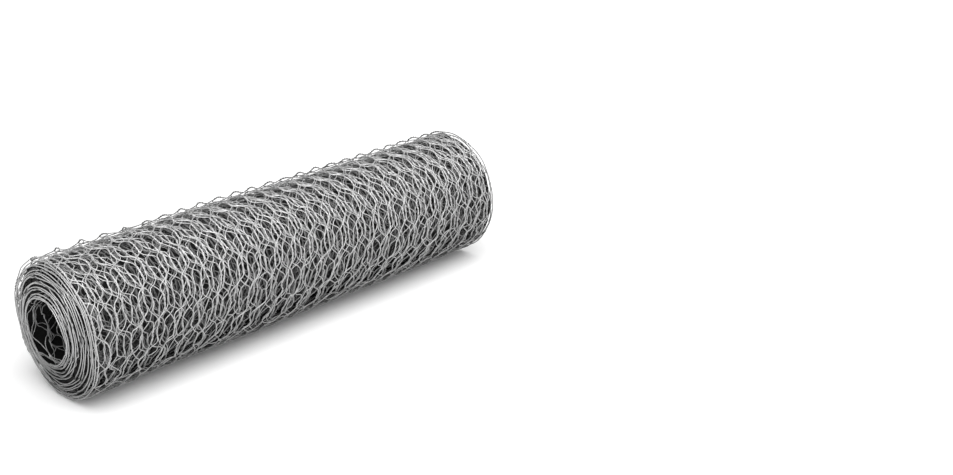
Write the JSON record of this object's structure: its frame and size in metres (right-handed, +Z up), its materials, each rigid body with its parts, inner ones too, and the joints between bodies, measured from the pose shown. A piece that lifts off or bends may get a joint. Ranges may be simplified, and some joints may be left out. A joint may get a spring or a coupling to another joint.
{
  "type": "roll of chicken wire",
  "caption": "Roll of galvanised hexagonal wire netting lying on its side, wound in loose turns round an open bore.",
  "frame": {"origin": "on the floor, under the middle of the roll's length and width", "axes": "+X along the roll, towards the end where the outer turns stand out; +Z up; the roll lies on its side"},
  "size_m": [0.6126, 0.162, 0.1619],
  "materials": {
    "galvanised_wire": "dull galvanised"
  },
  "bodies": {
    "root": {"netting_roll": "galvanised_wire"}
  },
  "joints": []
}
